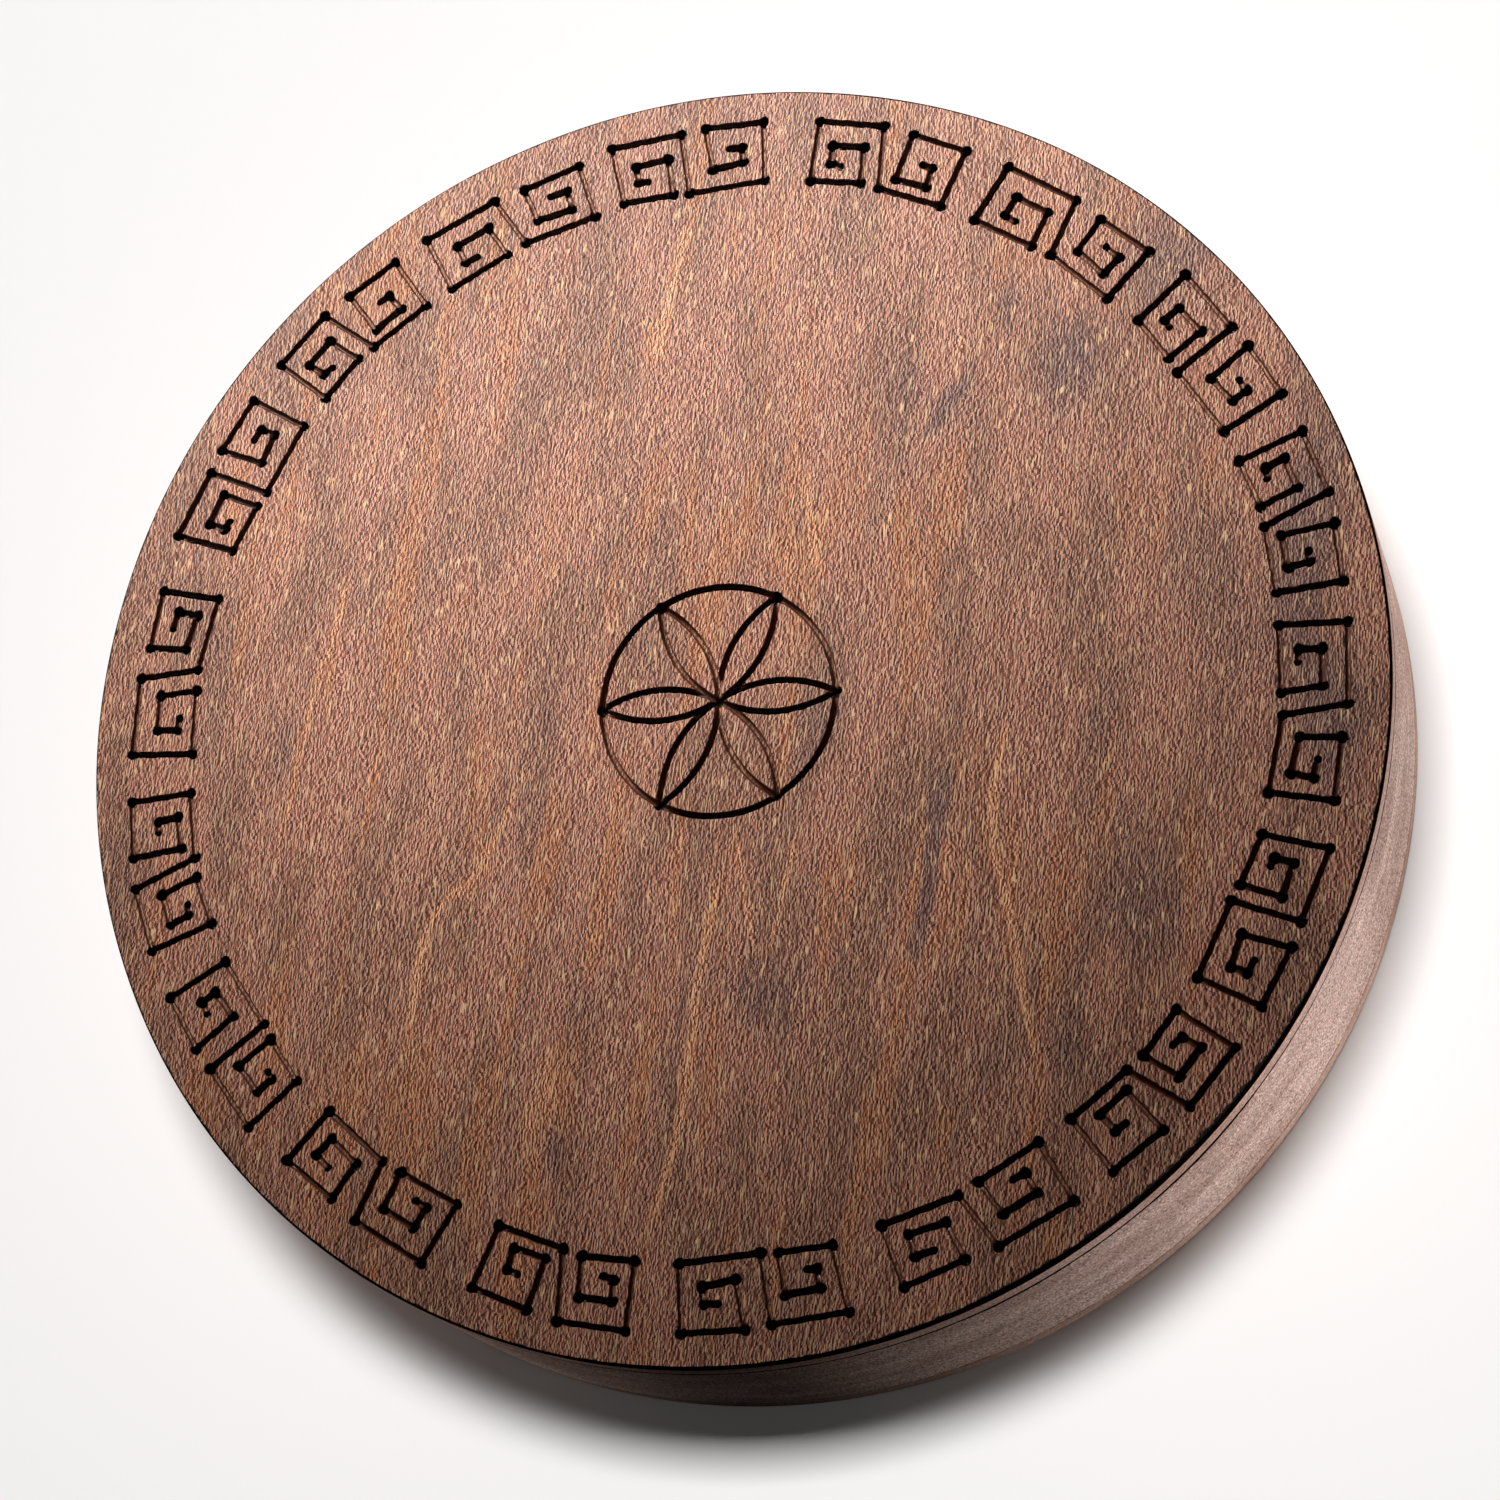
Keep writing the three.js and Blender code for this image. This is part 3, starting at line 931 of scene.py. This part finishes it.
# How far the glue lies inside the drum's radius: at its low edge, its bulging middle and its high edge
GLUE_INSETS = (0.22, 0.16, 0.22)


def make_glue_line(name, bottom, top):
    """A ring of glue in the gap between two heights."""
    low = bottom - GLUE_OVERLAP
    high = top + GLUE_OVERLAP
    heights = (low, (low + high) / 2, high)
    outside = [(DRUM_RADIUS - inset, height) for inset, height in zip(GLUE_INSETS, heights)]
    section = ((HOOP_INNER_RADIUS, low), *outside, (HOOP_INNER_RADIUS, high))
    turned_piece(name, section, GLUE, "stained_hoop")


make_glue_line("glue_line_front", HOOP_TOP, HEAD_UNDERSIDE)
make_glue_line("glue_line_back", BACK_THICKNESS, HOOP_BOTTOM)


BACK_RADII = (40.0, 80.0, 120.0, 146.0)
BACK_RIM = ((DRUM_RADIUS - 0.5, 0.0), (DRUM_RADIUS - 0.15, 0.15), (DRUM_RADIUS, 0.5),
            (DRUM_RADIUS, 2.7), (DRUM_RADIUS, BACK_THICKNESS - 0.2),
            (DRUM_RADIUS - 0.06, BACK_THICKNESS - 0.06), (DRUM_RADIUS - 0.2, BACK_THICKNESS))


def make_back():
    """A plate turned as a ring, with its hole closed by a face on each side."""
    under = [(radius, 0.0) for radius in BACK_RADII]
    inside = [(radius, BACK_THICKNESS) for radius in reversed(BACK_RADII)]
    section = (*under, *BACK_RIM, *inside)
    piece = turned_piece("plain_back", section, BACK, "stained_back", ("back_plate",))
    mesh = bmesh.new()
    mesh.from_mesh(piece.data)
    mesh.verts.ensure_lookup_table()
    first = [mesh.verts[i] for i in range(TURNED_SEGMENTS)]
    last = [mesh.verts[(len(section) - 1) * TURNED_SEGMENTS + i] for i in range(TURNED_SEGMENTS)]
    hole = set(first + last)
    wall = [face for face in mesh.faces if hole.issuperset(face.verts)]
    bmesh.ops.delete(mesh, geom=wall, context="FACES_ONLY")
    mesh.faces.new(list(reversed(first)))
    mesh.faces.new(last)
    mesh.to_mesh(piece.data)
    mesh.free()

    # The two flat faces have the head's wood
    piece.data.materials.append(FACE)
    for polygon in piece.data.polygons:
        if abs(polygon.normal.z) > 0.99:
            polygon.material_index = 1


make_back()


def make_beads():
    """A smooth ball in the place of each of the frame's beads."""
    for name in [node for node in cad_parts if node.startswith("bead_")]:
        low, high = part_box(name)
        centre = (low + high) / 2
        radius = (high.z - low.z) / 2
        shape = bmesh.new()
        bmesh.ops.create_icosphere(shape, subdivisions=3, radius=radius)
        bmesh.ops.translate(shape, verts=shape.verts, vec=centre)
        mesh = bpy.data.meshes.new(f"{name}_ball")
        shape.to_mesh(mesh)
        shape.free()
        mesh.materials.append(STEEL)
        mesh.shade_smooth()
        finished_piece(f"{name}_ball", mesh, name, "bead_steel", name)


make_beads()


# Floor, world and lamps. The floor and the world look pale to the camera, to gloss and to glass,
# and give little light to the drum.

UNSEEN_FLOOR = (0.02, 0.02, 0.02, 1.0)
SEEN_FLOOR = (0.8, 0.785, 0.78, 1.0)
FLOOR_HALF_SIDE = 4.0
FLOOR_DROP = 0.0002


def floor_material():
    g = Graph("floor")
    path = g.node("ShaderNodeLightPath").outputs
    seen = g.math("MAXIMUM", path["Is Camera Ray"], path["Is Glossy Ray"])
    seen = g.math("MAXIMUM", seen, path["Is Transmission Ray"])
    g.set(g.shader, "Base Color", g.mix(seen, UNSEEN_FLOOR, SEEN_FLOOR))
    g.set(g.shader, "Roughness", 0.9)
    g.set(g.shader, "Emission Color", (1.0, 0.98, 0.97, 1.0))
    g.set(g.shader, "Emission Strength", g.times(seen, 0.03))
    return g.material


def make_floor():
    mesh = bpy.data.meshes.new("floor")
    signs = ((-1, -1), (1, -1), (1, 1), (-1, 1))
    corners = [(x * FLOOR_HALF_SIDE, y * FLOOR_HALF_SIDE, 0.0) for x, y in signs]
    mesh.from_pydata(corners, [], [(0, 1, 2, 3)])
    mesh.materials.append(floor_material())
    floor = bpy.data.objects.new("floor", mesh)
    bpy.context.scene.collection.objects.link(floor)
    floor.location.z = -FLOOR_DROP
    return floor


def lit_group(name, objects):
    group = bpy.data.collections.new(name)
    for item in objects:
        group.objects.link(item)
    return group


def make_lamp(name, place, target, size, power, group, spread=180.0):
    """A soft lamp that lights only the objects of one group. All objects shadow it."""
    data = bpy.data.lights.new(name, "AREA")
    data.shape = "RECTANGLE"
    data.size, data.size_y = size
    data.energy = power
    data.spread = math.radians(spread)
    lamp = bpy.data.objects.new(name, data)
    bpy.context.scene.collection.objects.link(lamp)
    lamp.visible_camera = False
    lamp.location = place
    aim = Vector(target) - Vector(place)
    lamp.rotation_euler = aim.to_track_quat("-Z", "Y").to_euler()
    lamp.light_linking.receiver_collection = group


def make_world():
    """Pale near the horizon and dark overhead for the camera and reflections, and dim for other light."""
    world = bpy.data.worlds.new("studio")
    bpy.context.scene.world = world
    world.use_nodes = True
    nodes = world.node_tree.nodes
    links = world.node_tree.links
    background = nodes["Background"]
    path = nodes.new("ShaderNodeLightPath")
    seen = path.outputs["Is Camera Ray"]
    for ray in ("Is Glossy Ray", "Is Transmission Ray"):
        either = nodes.new("ShaderNodeMath")
        either.operation = "MAXIMUM"
        links.new(seen, either.inputs[0])
        links.new(path.outputs[ray], either.inputs[1])
        seen = either.outputs[0]
    height = nodes.new("ShaderNodeSeparateXYZ")
    links.new(nodes.new("ShaderNodeTexCoord").outputs["Generated"], height.inputs[0])
    pale = nodes.new("ShaderNodeMapRange")
    pale.interpolation_type = "SMOOTHSTEP"
    for socket, value in (("From Min", 0.1), ("From Max", 0.3), ("To Min", 0.93), ("To Max", 0.03)):
        pale.inputs[socket].default_value = value
    links.new(height.outputs["Z"], pale.inputs["Value"])
    strength = nodes.new("ShaderNodeMapRange")
    strength.inputs["To Min"].default_value = 0.012
    links.new(pale.outputs[0], strength.inputs["To Max"])
    links.new(seen, strength.inputs["Value"])
    links.new(strength.outputs[0], background.inputs["Strength"])
    background.inputs["Color"].default_value = (1.0, 0.98, 0.975, 1.0)


floor = make_floor()
make_world()
drum = lit_group("drum", [o for o in bpy.context.scene.objects if o.type == "MESH" and o is not floor])
ground = lit_group("ground", [floor])
make_lamp("key", (-0.10, 0.40, 0.294), (0.05, 0.115, 0.054), (0.5, 0.15), 0.51, drum, spread=36.6)
make_lamp("side", (0.246, -0.135, 0.027), (0.148, -0.154, 0.027), (0.04, 0.05), 0.225, drum)
make_lamp("side_fill", (0.358, 0.319, 0.027), (0.0, 0.0, 0.027), (0.05, 0.05), 1.9, drum)
make_lamp("side_left", (-0.35, -0.12, 0.027), (-0.1, -0.12, 0.027), (0.05, 0.05), 0.4, drum)
make_lamp("overhead", (0.14, 0.27, 1.9), (0.14, 0.27, 0.0), (0.6, 0.4), 44.0, ground)
